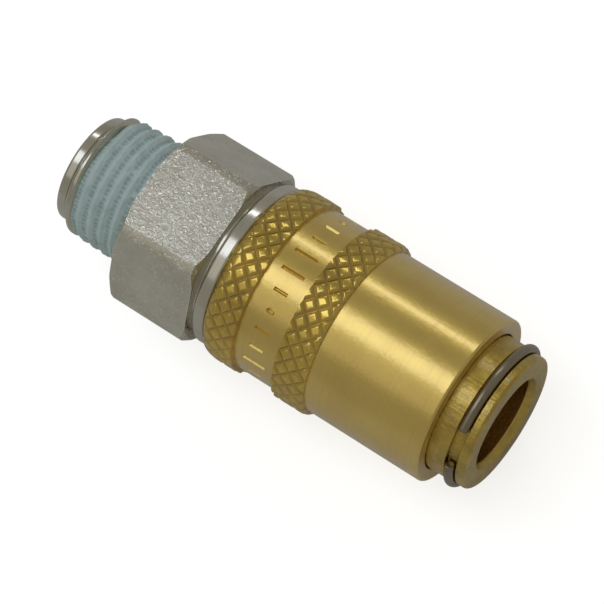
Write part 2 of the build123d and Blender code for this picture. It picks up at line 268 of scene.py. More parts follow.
def rubbedEdgesAndHighlightGroup():
    group, given, result = newGroup("rubbedEdgesAndHighlight", {"Width": 0.08, "Spread": 0.3}, ["Edges"])
    width = addNode(group, "ShaderNodeMath", {0: given["Width"], 1: mm}, operation="MULTIPLY").outputs[0]
    softened = addNode(group, "ShaderNodeBevel", {"Radius": width}, samples=4).outputs["Normal"]
    plain = addNode(group, "ShaderNodeNewGeometry").outputs["Normal"]
    same = addNode(group, "ShaderNodeVectorMath", {0: softened, 1: plain},
                   operation="DOT_PRODUCT").outputs["Value"]
    bent = addNode(group, "ShaderNodeMath", {0: 1.0, 1: same}, operation="SUBTRACT").outputs[0]
    edges = addNode(group, "ShaderNodeMapRange",
                    {"Value": bent, "From Min": 0.01, "From Max": given["Spread"]})
    group.links.new(edges.outputs["Result"], result["Edges"])
    return group


# how fine each surface noise is, in cycles to the metre
fineness = {"dents": 2600.0, "chatterAlong": 150.0, "chatterRound": 4200.0, "sealantSkin": 6500.0,
            "rubberSkin": 9000.0, "paper": 900.0}

effects = {"rings": turnedRingsGroup(), "grain": platingGrainGroup(), "handling": handlingGroup(),
           "edges": rubbedEdgesAndHighlightGroup()}


def useEffect(tree, name, **values):
    made = tree.nodes.new("ShaderNodeGroup")
    made.node_tree = effects[name]
    for label, value in values.items():
        made.inputs[label.replace("_", " ")].default_value = value
    return made.outputs


def startMaterial(name, **sockets):
    material = bpy.data.materials.new(name)
    material.use_nodes = True
    shader = material.node_tree.nodes["Principled BSDF"]
    for label, value in sockets.items():
        shader.inputs[label.replace("_", " ")].default_value = value
    return material, material.node_tree, shader.inputs


def shade(colour, amount):
    return [min(part * amount, 1.0) for part in colour[:3]] + [1.0]


def turnedMetal(name, look):
    # metal from the lathe: rings round the axis, tarnish, specks, and rubbed edges lightened as wear and as a
    # painted highlight
    material, tree, shader = startMaterial(name, Metallic=1.0, Coat_Weight=look.get("coat", 0.0),
                                           Coat_IOR=2.1, Coat_Roughness=look["rough"] * 0.8)
    rings = useEffect(tree, "rings", Rings_per_mm=look["ringsPerMm"])
    handling = useEffect(tree, "handling", Clouds_per_mm=look.get("cloudsPerMm", 0.25))
    edges = useEffect(tree, "edges", Width=look.get("edge", 0.08))
    clouded = mixColour(tree, handling["Clouds"], look["colour"], look["tarnish"])
    lined = remap(tree, rings["Height"], 0.38, 0.66, 0.0, 0.25)
    clouded = mixColour(tree, lined, clouded, shade(look["tarnish"], 0.82))
    specked = mixColour(tree, handling["Specks"], clouded, shade(look["tarnish"], 0.4))
    # the edges get a lighter colour: partly rubbed wear, partly a painted highlight
    edgeWornAndLit = mixColour(tree, edges["Edges"], specked, shade(look["colour"], look.get("edgeWearAndHighlightTone", 1.25)))
    if "grooveDark" in look:         # darker in the grooves, patchy
        hollow = addNode(tree, "ShaderNodeAttribute", attribute_name="hollow").outputs["Fac"]
        patchy = remap(tree, handling["Clouds"], 0.0, 1.0, 0.45, 1.0)
        darkened = addNode(tree, "ShaderNodeMath", {0: hollow, 1: patchy}, operation="MULTIPLY").outputs[0]
        edgeWornAndLit = mixColour(tree, darkened, edgeWornAndLit, look["grooveDark"])
    tree.links.new(edgeWornAndLit, shader["Base Color"])
    tree.links.new(remap(tree, rings["Deep"], 0.0, 1.0, look["rough"], look["rough"] + 0.1),
                   shader["Roughness"])
    bump = addNode(tree, "ShaderNodeBump", {"Height": rings["Height"], "Strength": 1.0,
                                            "Distance": look["ringHeight"] * mm})
    if "dents" in look:
        dents = addNode(tree, "ShaderNodeTexNoise",
                        {"Vector": objectPlace(tree), "Scale": fineness["dents"], "Detail": 2.0})
        bump = addNode(tree, "ShaderNodeBump", {"Height": dents.outputs["Fac"], "Strength": 1.0,
                                                "Normal": bump.outputs["Normal"],
                                                "Distance": look["dents"] * mm})
    if "chatter" in look:
        lines = addNode(tree, "ShaderNodeTexNoise", {
            "Vector": stretched(tree, fineness["chatterAlong"], fineness["chatterRound"]), "Scale": 1.0,
            "Detail": 2.0}).outputs["Fac"]
        bump = addNode(tree, "ShaderNodeBump",
                       {"Height": lines, "Strength": 1.0, "Normal": bump.outputs["Normal"],
                                                "Distance": look["chatter"] * mm})
    tree.links.new(bump.outputs["Normal"], shader["Normal"])
    return material


def platedFlats(name, look):
    # bright plating over drawn bar: grainy flats that sparkle, with painted glints on the flecks and edges
    # lightened as wear and as painted highlights
    material, tree, shader = startMaterial(name, Metallic=1.0)
    grain = useEffect(tree, "grain", Grains_per_mm=look["grainsPerMm"], Breakup=0.12)
    handling = useEffect(tree, "handling", Clouds_per_mm=0.4)
    edges = useEffect(tree, "edges", Width=0.14, Spread=0.2)
    clouded = mixColour(tree, handling["Clouds"], look["colour"], look["tarnish"])
    # the flecks are smoother grains, and their lighter colour is a painted glint
    glintFlecked = mixColour(tree, grain["Tops"], clouded, look["fleckGlint"])
    # the edges are painted near white: a painted highlight, partly wear
    edgeWornAndLit = mixColour(tree, edges["Edges"], glintFlecked, look["edge"])
    tree.links.new(edgeWornAndLit, shader["Base Color"])
    bright = addNode(tree, "ShaderNodeMath", {0: grain["Tops"], 1: edges["Edges"]},
                     operation="MAXIMUM").outputs[0]
    tree.links.new(remap(tree, bright, 0.0, 1.0, look["rough"], look["fleckRough"]), shader["Roughness"])
    bump = addNode(tree, "ShaderNodeBump", {"Height": grain["Height"], "Strength": 1.0,
                                            "Distance": look["grainHeight"] * mm})
    bump = addNode(tree, "ShaderNodeBump", {"Height": grain["Tops"], "Strength": 1.0,
                                            "Normal": bump.outputs["Normal"],
                                            "Distance": look["topHeight"] * mm})
    tree.links.new(bump.outputs["Normal"], shader["Normal"])
    return material


def driedSealant(name, look):
    # chalky coating, with painted shade darkening its hollows and pits
    material, tree, shader = startMaterial(name, Roughness=0.6, Specular_IOR_Level=0.35)
    hollow = addNode(tree, "ShaderNodeAttribute", attribute_name="hollow").outputs["Fac"]
    handling = useEffect(tree, "handling", Clouds_per_mm=0.8)
    clouded = mixColour(tree, handling["Clouds"], look["colour"], look["patch"])
    tree.links.new(mixColour(tree, hollow, clouded, look["hollow"]), shader["Base Color"])
    tree.links.new(remap(tree, handling["Clouds"], 0.0, 1.0, 0.5, 0.72), shader["Roughness"])
    skin = addNode(tree, "ShaderNodeTexNoise",
                   {"Vector": objectPlace(tree), "Scale": fineness["sealantSkin"], "Detail": 4.0})
    bump = addNode(tree, "ShaderNodeBump",
                   {"Height": skin.outputs["Fac"], "Strength": 1.0, "Distance": 0.03 * mm})
    tree.links.new(bump.outputs["Normal"], shader["Normal"])
    return material


def sealRubber(name, look):
    material, tree, shader = startMaterial(name, Roughness=0.5)
    handling = useEffect(tree, "handling", Clouds_per_mm=1.2)
    tree.links.new(mixColour(tree, handling["Clouds"], look["colour"], shade(look["colour"], 2.4)),
                   shader["Base Color"])
    tree.links.new(remap(tree, handling["Clouds"], 0.0, 1.0, 0.42, 0.62), shader["Roughness"])
    skin = addNode(tree, "ShaderNodeTexNoise",
                   {"Vector": objectPlace(tree), "Scale": fineness["rubberSkin"], "Detail": 2.0})
    bump = addNode(tree, "ShaderNodeBump",
                   {"Height": skin.outputs["Fac"], "Strength": 1.0, "Distance": 0.01 * mm})
    tree.links.new(bump.outputs["Normal"], shader["Normal"])
    return material


def makeFinishes():
    brass = (0.80, 0.55, 0.06, 1)
    brassTarnish = (0.72, 0.475, 0.04, 1)
    nickel = (0.66, 0.635, 0.53, 1)
    nickelTarnish = (0.54, 0.51, 0.41, 1)
    return {
        "sleeveSatin": turnedMetal("sleeveSatin", {
            "colour": brass, "tarnish": brassTarnish, "rough": 0.28, "ringsPerMm": 6.0, "ringHeight": 0.004,
            "edgeWearAndHighlightTone": 1.2, "coat": 1.0, "dents": 0.015}),
        "knurlBrass": turnedMetal("knurlBrass", {
            "colour": shade(brass, 0.98), "tarnish": shade(brassTarnish, 0.78), "rough": 0.22,
            "ringsPerMm": 4.0, "ringHeight": 0.001, "edgeWearAndHighlightTone": 1.15, "coat": 0.55, "dents": 0.02,
            "grooveDark": (0.42, 0.27, 0.05, 1)}),
        "noseBrass": turnedMetal("noseBrass", {
            "colour": shade(brass, 0.8), "tarnish": shade(brassTarnish, 0.58), "rough": 0.33,
            "ringsPerMm": 10.0, "ringHeight": 0.003, "chatter": 0.06, "dents": 0.06, "coat": 0.5,
            "cloudsPerMm": 0.7}),
        "boreBrass": turnedMetal("boreBrass", {
            "colour": (0.90, 0.68, 0.30, 1), "tarnish": (0.80, 0.56, 0.2, 1), "rough": 0.24,
            "ringsPerMm": 6.0, "ringHeight": 0.003, "chatter": 0.02}),
        "turnedNickel": turnedMetal("turnedNickel", {
            "colour": nickel, "tarnish": nickelTarnish, "rough": 0.17, "ringsPerMm": 8.0,
            "ringHeight": 0.001}),
        "hexNickel": platedFlats("hexNickel", {
            # the lighter fleck colour is a painted glint
            "colour": nickel, "tarnish": nickelTarnish, "fleckGlint": (0.76, 0.74, 0.60, 1),
            # the edge colour is a painted highlight, partly wear
            "edge": (0.98, 0.96, 0.86, 1), "rough": 0.23,
            "fleckRough": 0.09, "grainsPerMm": 2.0, "grainHeight": 0.022, "topHeight": 0.018}),
        "ringSteel": turnedMetal("ringSteel", {
            "colour": (0.34, 0.29, 0.205, 1), "tarnish": (0.25, 0.205, 0.135, 1), "rough": 0.27,
            "ringsPerMm": 5.0, "ringHeight": 0.002}),
        "springSteel": turnedMetal("springSteel", {
            "colour": (0.5, 0.49, 0.47, 1), "tarnish": (0.36, 0.35, 0.33, 1), "rough": 0.3, "ringsPerMm": 8.0,
            "ringHeight": 0.002}),
        "ballSteel": turnedMetal("ballSteel", {
            "colour": (0.62, 0.62, 0.62, 1), "tarnish": (0.5, 0.5, 0.5, 1), "rough": 0.12, "ringsPerMm": 3.0,
            "ringHeight": 0.0005}),
        "valveBrass": turnedMetal("valveBrass", {
            "colour": (0.50, 0.32, 0.11, 1), "tarnish": (0.34, 0.21, 0.07, 1), "rough": 0.28,
            "ringsPerMm": 8.0, "ringHeight": 0.004}),
        "sealant": driedSealant("sealant", {
            "colour": (0.62, 0.755, 0.735, 1), "patch": (0.54, 0.69, 0.67, 1),
            # the hollow colour is painted shade
            "hollow": (0.24, 0.34, 0.33, 1)}),
        "rubber": sealRubber("rubber", {"colour": (0.012, 0.012, 0.013, 1)}),
    }


finishes = makeFinishes()
print("materials made")


# hexagon with turned corners, and the neck and collar in front of it

hexagon = {"length": 9.0, "acrossFlats": 17.0, "rearChamfer": 0.5, "rearDrop": 0.83, "frontChamfer": 0.35,
           "frontDrop": 0.58, "edge": 0.08, "boreRadius": 6.78, "boreFrom": 4.2, "insideFrame": 0.001}
collar = {"neckRadius": 8.0, "rear": 9.5, "radius": 8.6, "rearRounding": 0.4, "frontRounding": 0.3,
          "neckFillet": 0.06, "boreEdge": 0.05, "rootedIn": 0.05}


def makeHexagon():
    length = hexagon["length"]
    outer = hexRadius - hexagon["insideFrame"]       # a hair inside the CAD corner
    blank = turnedBlank([
        (0, flowRadius, 0),
        (0, outer - hexagon["rearDrop"], hexagon["edge"]),
        (hexagon["rearChamfer"], outer, hexagon["edge"]),
        (length - hexagon["frontChamfer"], outer, hexagon["edge"]),
        (length, outer - hexagon["frontDrop"], hexagon["edge"]),
        (length, hexagon["boreRadius"], 0),
        (hexagon["boreFrom"], hexagon["boreRadius"], 0),
        (hexagon["boreFrom"], flowRadius, 0)], steps=360)
    prism = bmesh.new()
    cornerReach = hexagon["acrossFlats"] / 2 / math.cos(math.pi / 6)
    bmesh.ops.create_cone(prism, cap_ends=True, segments=6, radius1=cornerReach, radius2=cornerReach,
                          depth=2 * length + 4)      # centred on x = 0, so it passes both ends
    corners = [edge for edge in prism.edges if abs(edge.verts[0].co.z - edge.verts[1].co.z) > length]
    bmesh.ops.bevel(prism, geom=corners, offset=hexagon["edge"], offset_type="OFFSET", segments=4,
                    profile=0.5, affect="EDGES", material=-1)
    bmesh.ops.rotate(prism, cent=(0, 0, 0), matrix=Matrix.Rotation(math.pi / 2, 3, "Y"), verts=prism.verts[:])
    piece = objectFrom(blank, "hexagon", finishes["hexNickel"])
    applyBoolean(piece, objectFrom(prism, "hexagonBar"), "INTERSECT")
    smoothShade(piece, 4)       # the flats stay flat right up to their rounded corners
    place(piece, "coupler_body", "nickel", "hex_body")


def makeCollar():
    rooted = hexagon["length"] - collar["rootedIn"]      # the neck starts just inside the hexagon
    bm = turnedBlank([
        (rooted, hexagon["boreRadius"], 0),
        (rooted, collar["neckRadius"], 0),
        (collar["rear"], collar["neckRadius"], collar["neckFillet"]),
        (collar["rear"], collar["radius"], collar["rearRounding"]),
        (collarFront, collar["radius"], collar["frontRounding"]),
        (collarFront, hexagon["boreRadius"], collar["boreEdge"])])
    piece = objectFrom(bm, "collar", finishes["turnedNickel"])
    smoothShade(piece)
    place(piece, "coupler_body", "nickel", "hex_body")


makeHexagon()
makeCollar()


# taper pipe thread: 19 threads to the inch on a 1 in 16 taper

thread = {"pitch": 1.337, "crestAtPilot": 6.291, "depth": 0.7, "crestShare": 0.24, "pilotRadius": 5.575,
          "pilotLength": 1.0, "pilotRounding": 0.3, "grooveRadius": 5.42, "grooveLength": 0.12,
          "taperPerSide": 1 / 32, "boreChamfer": 0.4, "underSealant": 0.3, "runIn": 0.5, "coreGap": 0.02,
          "coreFront": 0.05}


def crestRadius(x):
    return thread["crestAtPilot"] + (x - threadRear) * thread["taperPerSide"]


def screwSkin(rear, front, lines, steps):
    # one pitch of a straight line, wound once round the axis and repeated until it covers rear to front
    bm = bmesh.new()
    pitch = thread["pitch"]
    verts = [bm.verts.new((rear - pitch + pitch * count / lines, 0, 1)) for count in range(lines + 1)]
    edges = [bm.edges.new(pair) for pair in zip(verts, verts[1:])]
    bmesh.ops.spin(bm, geom=verts + edges, cent=(0, 0, 0), axis=(1, 0, 0), dvec=(pitch / steps, 0, 0),
                   angle=fullTurn, steps=steps, use_merge=False, use_duplicate=False)
    wound = bm.verts[:] + bm.edges[:] + bm.faces[:]
    for turn in range(1, math.ceil((front - rear) / pitch) + 2):
        copied = bmesh.ops.duplicate(bm, geom=wound)["geom"]
        moved = [item for item in copied if isinstance(item, bmesh.types.BMVert)]
        bmesh.ops.translate(bm, vec=(pitch * turn, 0, 0), verts=moved)
    bmesh.ops.remove_doubles(bm, verts=bm.verts[:], dist=1e-4)
    return bm


def ridgePhase(x, angle):
    # 0 on a crest, 0.5 in a valley
    phase = ((x - threadRear) / thread["pitch"] - angle / fullTurn) % 1.0
    return min(phase, 1 - phase)


def makePipeThread():
    rear = threadRear
    pilotFront = rear + thread["pilotLength"]
    pilot = thread["pilotRadius"]       # the plain end behind the first thread
    grooveFront = pilotFront + thread["grooveLength"]
    underRoot = thread["depth"] + thread["coreGap"]
    core = turnedBlank([
        (rear, flowRadius + thread["boreChamfer"], 0.08),
        (rear, pilot, thread["pilotRounding"]),
        (pilotFront, pilot, 0.15),
        (pilotFront + 0.1, thread["grooveRadius"], 0.05),
        (grooveFront, thread["grooveRadius"], 0.05),
        (grooveFront, crestRadius(grooveFront) - underRoot, 0),
        (thread["coreFront"], crestRadius(0) - underRoot, 0),
        (thread["coreFront"], flowRadius, 0),
        (rear + thread["boreChamfer"], flowRadius, 0.08)])
    piece = objectFrom(core, "threadCore", finishes["turnedNickel"])
    smoothShade(piece)
    place(piece, "coupler_body", "nickel", "hex_body")
    front = sealantRear + thread["underSealant"]
    bm = screwSkin(grooveFront, front, lines=16, steps=180)
    for vert in bm.verts:
        angle = math.atan2(vert.co.z, vert.co.y)
        share = ridgePhase(vert.co.x, angle) * 2
        height = 1 - min(max((share - thread["crestShare"]) / (1 - thread["crestShare"]), 0), 1)
        fade = ease((vert.co.x - grooveFront) / thread["runIn"])
        radius = crestRadius(vert.co.x) - thread["depth"] * (1 - height * fade)
        vert.co = (vert.co.x, radius * math.cos(angle), radius * math.sin(angle))
    trimEnds(bm, grooveFront, front)
    closeInside(bm, thread["grooveRadius"] + 0.1)
    start = objectFrom(bm, "threadStart", finishes["turnedNickel"])
    smoothShade(start)
    place(start, "coupler_body", "nickel", "hex_body")


makePipeThread()


# dried sealant, wound on with the thread: filled valleys, uneven crests and rows of small pits

coating = {"swell": 0.06, "valleyDepth": 0.3, "ridgeSharpness": 0.7, "lumps": 0.075, "lumpSize": 0.6,
           "pitSpacing": 0.47, "pitRadius": 0.27, "pitStretch": 0.85, "pitDepth": 0.13, "rowJitter": 0.04,
           "placeJitter": 0.1, "smallest": 0.8, "largest": 1.05, "present": 0.97, "pitEdge": 1.7, "seed": 7,
           "midRadius": 6.2, "turnsOfPits": 9, "noiseRadius": 6, "swellShare": 0.6, "depthUneven": 0.6,
           "unevenSize": 1.7, "flareRear": 0.55, "flareLength": 0.5, "flare": 0.12, "rearFade": 0.15,
           "rearDrop": 0.2, "pitShade": 0.4, "valleyShade": 0.14, "innerRadius": 5.4}


def makeCoating():
    pitch = thread["pitch"]
    chance = random.Random(coating["seed"])
    perTurn = int(fullTurn * coating["midRadius"] / coating["pitSpacing"])
    pits = []
    for count in range(perTurn * coating["turnsOfPits"]):
        side = chance.uniform(-coating["rowJitter"], coating["rowJitter"])
        shift = chance.uniform(-coating["placeJitter"], coating["placeJitter"])
        size = chance.uniform(coating["smallest"], coating["largest"])
        pits.append((shift, side, size, chance.random() < coating["present"]))
    rear, front = sealantRear, sealantFront
    bm = screwSkin(rear, front, lines=22, steps=300)
    hollow = bm.verts.layers.float.new("hollow")
    for vert in bm.verts:
        x = vert.co.x
        angle = math.atan2(vert.co.z, vert.co.y)
        share = ridgePhase(x, angle) * 2
        height = 1 - ease(share ** coating["ridgeSharpness"])
        spot = Vector((x, coating["noiseRadius"] * math.cos(angle), coating["noiseRadius"] * math.sin(angle)))
        lump = noise.fractal(spot / coating["lumpSize"], 0.9, 2.1, 3)      # persistence, lacunarity, octaves
        uneven = coating["depthUneven"] * noise.noise(spot / coating["unevenSize"])
        depth = coating["valleyDepth"] * (1 + uneven)
        radius = crestRadius(x) + coating["swell"] * coating["swellShare"]
        radius += coating["lumps"] * lump - depth * (1 - height)
        # how far round the winding this point is, counted from a valley line
        wound = (x - threadRear) / pitch - 0.5
        turn = round(wound - angle / fullTurn)
        along = (turn + angle / fullTurn) * perTurn
        offset = (wound - (turn + angle / fullTurn)) * pitch
        nearest = round(along)
        shift, side, size, present = pits[nearest % len(pits)]
        reach = math.hypot((along - nearest - shift) * coating["pitSpacing"],
                           (offset - side) * coating["pitStretch"])
        pit = present * ease(coating["pitEdge"] * (1 - reach / (coating["pitRadius"] * size)))
        radius -= coating["pitDepth"] * pit
        # squeezed out against the hexagon, and thinner at the rear edge
        radius += coating["flare"] * ease((x + coating["flareRear"]) / coating["flareLength"])
        radius -= coating["rearDrop"] * (1 - ease((x - rear) / coating["rearFade"]))
        # painted shade: the pits and valleys get the darker hollow colour
        vert[hollow] = min(1.0, coating["pitShade"] * pit + coating["valleyShade"] * (1 - height))
        vert.co = (x, radius * math.cos(angle), radius * math.sin(angle))
    trimEnds(bm, rear, front)
    closeInside(bm, coating["innerRadius"])
    piece = objectFrom(bm, "threadCoating", finishes["sealant"])
    smoothShade(piece, 60)
    place(piece, "coupler_body", "sealant", "thread_sealant")


makeCoating()


# socket body: the tube, the snap ring groove, the flange and the mouth

socket = {"spigotRadius": 6.75, "grooveRadius": 6.6, "grooveRear": 37.37, "grooveFront": 38.47,
          "flangeRadius": 7.05, "flangeRounding": 0.35, "chamberRadius": 5.6, "seat": 26.0,
          "guideRadius": 4.4, "entryRadius": 4.575, "entryRear": 34.3, "mouthRadius": 4.915,
          "mouthDepth": 0.65, "sealGroove": 6.03}
ballHole = {"count": 6, "radius": 1.65, "footRadius": 1.4, "foot": 4.08, "taperTop": 5.36, "top": 8.8}


def drilledHoles(x):
    # one drill standing on Z, narrowed below its taper so that the ball can't fall in, then repeated
    # round the axis
    holes = bmesh.new()
    middle = (ballHole["foot"] + ballHole["top"]) / 2
    bmesh.ops.create_cone(holes, cap_ends=True, segments=32, radius1=ballHole["radius"],
                          radius2=ballHole["radius"], depth=ballHole["top"] - ballHole["foot"],
                          matrix=Matrix.Translation((0, 0, middle)))
    bmesh.ops.bisect_plane(holes, geom=holes.verts[:] + holes.edges[:] + holes.faces[:], dist=1e-5,
                           plane_co=(0, 0, ballHole["taperTop"]), plane_no=(0, 0, 1))
    foot = [vert for vert in holes.verts if vert.co.z < ballHole["foot"] + 0.01]
    narrow = ballHole["footRadius"] / ballHole["radius"]
    bmesh.ops.scale(holes, vec=(narrow, narrow, 1), verts=foot)
    bmesh.ops.translate(holes, vec=(x, 0, 0), verts=holes.verts[:])
    bmesh.ops.rotate(holes, cent=(0, 0, 0), matrix=Matrix.Rotation(math.pi / 2, 3, "X"), verts=holes.verts[:])
    drill = holes.verts[:] + holes.edges[:] + holes.faces[:]
    for number in range(1, ballHole["count"]):
        turn = Matrix.Rotation(fullTurn / ballHole["count"] * number, 3, "X")
        copied = bmesh.ops.duplicate(holes, geom=drill)["geom"]
        moved = [item for item in copied if isinstance(item, bmesh.types.BMVert)]
        bmesh.ops.rotate(holes, cent=(0, 0, 0), matrix=turn, verts=moved)
    return holes


def makeSocketBody():
    ballX = (ballRear + ballFront) / 2
    bm = turnedBlank([
        (socketRear, socket["spigotRadius"], 0.1),
        (collarFront + 0.02, socket["spigotRadius"], 0),
        (collarFront + 0.02, socketRadius, 0.1),
        (socket["grooveRear"], socketRadius, 0.1),
        (socket["grooveRear"], socket["grooveRadius"], 0.08),
        (socket["grooveFront"], socket["grooveRadius"], 0.08),
        (socket["grooveFront"], socket["flangeRadius"], 0.12),
        (socketFront, socket["flangeRadius"], socket["flangeRounding"]),
        (socketFront, socket["mouthRadius"], 0.08),
        (socketFront - socket["mouthDepth"], socket["entryRadius"], 0.15),
        (socket["entryRear"], socket["entryRadius"], 0.05),
        (socket["entryRear"], socket["guideRadius"], 0.05),
        (sealFront + 0.05, socket["guideRadius"], 0.05),
        (sealFront + 0.05, socket["sealGroove"], 0.1),
        (sealRear - 0.05, socket["sealGroove"], 0.1),
        (sealRear - 0.05, socket["guideRadius"], 0.05),
        (socket["seat"], socket["guideRadius"], 0.1),
        (socket["seat"], socket["chamberRadius"], 0.1),
        (socketRear, socket["chamberRadius"], 0.1)])
    piece = objectFrom(bm, "socketBody", finishes["noseBrass"], finishes["boreBrass"])
    applyBoolean(piece, objectFrom(drilledHoles(ballX), "ballDrills"), "DIFFERENCE")
    for face in piece.data.polygons:        # the bore keeps a brighter finish than the outside
        across = Vector((0, face.center.y, face.center.z))
        face.material_index = int(face.normal.dot(across) < 0
                                  and face.center.x < (socketFront - socket["mouthDepth"]) * mm)
    smoothShade(piece)
    place(piece, "coupler_body", "body_brass", "socket_body")


makeSocketBody()


# open wire ring in its groove

wireRing = {"wireRadius": 0.5, "gapAngle": 33.0, "gapCentre": 138.0, "endRounding": 0.14}


def makeSnapRing():
    bm = bmesh.new()
    wire = wireRing["wireRadius"]
    centre = ringRadius - wire
    x = (ringRear + ringFront) / 2
    turnSize = math.radians(360 - wireRing["gapAngle"])
    circle = bmesh.ops.create_circle(bm, cap_ends=False, segments=28, radius=wire,
                                     matrix=Matrix.Rotation(math.pi / 2, 4, "X"))["verts"]
    bmesh.ops.translate(bm, vec=(x, 0, centre), verts=circle)
    bmesh.ops.spin(bm, geom=bm.verts[:] + bm.edges[:], cent=(0, 0, 0), axis=(1, 0, 0), dvec=(0, 0, 0),
                   angle=turnSize, steps=170, use_merge=False, use_duplicate=False)
    rims = [edge for edge in bm.edges if edge.is_boundary]
    bmesh.ops.holes_fill(bm, edges=rims)
    bmesh.ops.bevel(bm, geom=rims, offset=wireRing["endRounding"], offset_type="OFFSET", segments=3,
                    profile=0.5, affect="EDGES", material=-1)
    bmesh.ops.recalc_face_normals(bm, faces=bm.faces[:])
    # the wire starts at the top, a quarter turn past +Y
    start = math.radians(wireRing["gapCentre"] + wireRing["gapAngle"] / 2 - 90)
    bmesh.ops.rotate(bm, cent=(0, 0, 0), matrix=Matrix.Rotation(start, 3, "X"), verts=bm.verts[:])
    piece = objectFrom(bm, "snapRing", finishes["ringSteel"])
    smoothShade(piece)
    place(piece, "coupler_body", "ring_wire", "snap_ring")


makeSnapRing()


# sleeve: knurled, marked and smooth outside, with the spring room, ramp and ball pocket inside

sleeve = {"bandRear": 14.6, "bandFront": 19.25, "bandRadius": 8.715, "frontKnurlFront": 22.7, "radius": 8.675,
          "underKnurl": 8.45, "springRoom": 8.0, "springRoomFront": 24.0, "land": 7.25, "pocket": 7.8,
          "pocketFront": 34.35, "rampFoot": 30.8, "rampTop": 32.84, "frontRounding": 0.25}
knurl = {"starts": 32, "pitchAlong": 1.70, "groove": 0.3, "depth": 0.2, "padEdge": 0.05, "rearRise": 1.6,
         "rearDrop": 0.6, "frontFall": 0.6, "frontDrop": 0.5, "grooveDarkRise": 1.15, "innerStep": 0.15}
marks = {"places": 26, "barLength": 2.8, "shortBar": 0.6, "barWidth": 0.72, "dotRadius": 0.62, "depth": 0.24,
         "taper": 0.06, "barTip": 0.8, "dotTip": 0.5, "group": 5, "dotPlace": 2}


def cutMarks(piece):
    # plain graduation strokes and dots struck round the band
    cutter = bmesh.new()
    middle = (sleeve["bandRear"] + sleeve["bandFront"]) / 2
    radius = sleeve["bandRadius"]
    for number in range(marks["places"]):
        turn = fullTurn / marks["places"] * number
        isDot = number % marks["group"] == marks["dotPlace"]
        if isDot:
            made = bmesh.ops.create_cone(cutter, cap_ends=True, segments=24, radius1=marks["dotRadius"],
                                         radius2=marks["dotRadius"], depth=1)["verts"]
        else:
            made = bmesh.ops.create_cube(cutter, size=1)["verts"]
            length = marks["barLength"] * (1 if number % marks["group"] == 0 else marks["shortBar"])
            bmesh.ops.scale(cutter, vec=(length, marks["barWidth"], 1), verts=made)
        # the punch narrows to its tip, and its shoulder stands level with the band
        tip = [vert for vert in made if vert.co.z < 0]
        along = marks["dotTip"] if isDot else marks["barTip"]
        bmesh.ops.scale(cutter, vec=(along, marks["taper"], 1), verts=tip)
        bmesh.ops.scale(cutter, vec=(1, 1, 2 * marks["depth"]), verts=made)
        bmesh.ops.translate(cutter, vec=(middle, 0, radius), verts=made)
        bmesh.ops.rotate(cutter, cent=(0, 0, 0), matrix=Matrix.Rotation(turn, 3, "X"), verts=made)
    applyBoolean(piece, objectFrom(cutter, "markPunches"), "DIFFERENCE")


def makeSleeveCore():
    bm = turnedBlank([
        (sleeveRear + 0.02, sleeve["springRoom"], 0.05),
        (sleeveRear + 0.02, sleeve["underKnurl"], 0),
        (sleeve["bandRear"] - 0.05, sleeve["underKnurl"], 0),
        (sleeve["bandRear"] - 0.05, sleeve["bandRadius"], 0),
        (sleeve["bandFront"] + 0.05, sleeve["bandRadius"], 0),
        (sleeve["bandFront"] + 0.05, sleeve["underKnurl"], 0),
        (sleeve["frontKnurlFront"] - 0.05, sleeve["underKnurl"], 0),
        (sleeve["frontKnurlFront"] - 0.05, sleeve["radius"], 0),
        (sleeveFront, sleeve["radius"], sleeve["frontRounding"]),
        (sleeveFront, sleeve["land"], 0.12),
        (sleeve["pocketFront"], sleeve["land"], 0.08),
        (sleeve["pocketFront"], sleeve["pocket"], 0.1),
        (sleeve["rampTop"], sleeve["pocket"], 0),
        (sleeve["rampFoot"], sleeve["land"], 0),
        (sleeve["springRoomFront"], sleeve["land"], 0.05),
        (sleeve["springRoomFront"], sleeve["springRoom"], 0.05)], steps=256)
    piece = objectFrom(bm, "sleeveBody", finishes["sleeveSatin"])
    cutMarks(piece)
    smoothShade(piece)
    place(piece, "sleeve", "sleeve_brass", "sleeve")


def diamondSheet(rear, front):
    # a flat sheet of raised diamonds, one quad each: u runs round the sleeve, x along it
    bm = bmesh.new()
    wide = fullTurn * knurlRadius / knurl["starts"]
    along = knurl["pitchAlong"]
    rows = math.ceil((front - rear) / (along / 2)) + 3
    for row in range(rows):
        x = rear + (row - 1) * along / 2
        for column in range(knurl["starts"]):
            u = (column + 0.5 * (row % 2)) * wide
            corners = [(u, x - along / 2, 0), (u + wide / 2, x, 0), (u, x + along / 2, 0),
                       (u - wide / 2, x, 0)]
            bm.faces.new([bm.verts.new(corner) for corner in corners])
    bmesh.ops.remove_doubles(bm, verts=bm.verts[:], dist=1e-4)
    pads = bm.faces[:]
    bmesh.ops.inset_individual(bm, faces=pads, thickness=knurl["groove"], depth=knurl["depth"],
                               use_even_offset=True)
    rims = list({edge for pad in pads for edge in pad.edges})
    bmesh.ops.bevel(bm, geom=rims, offset=knurl["padEdge"], offset_type="OFFSET", segments=2, profile=0.5,
                    affect="EDGES", material=-1)
    bmesh.ops.subdivide_edges(bm, edges=bm.edges[:], cuts=2, use_grid_fill=True)
    return bm


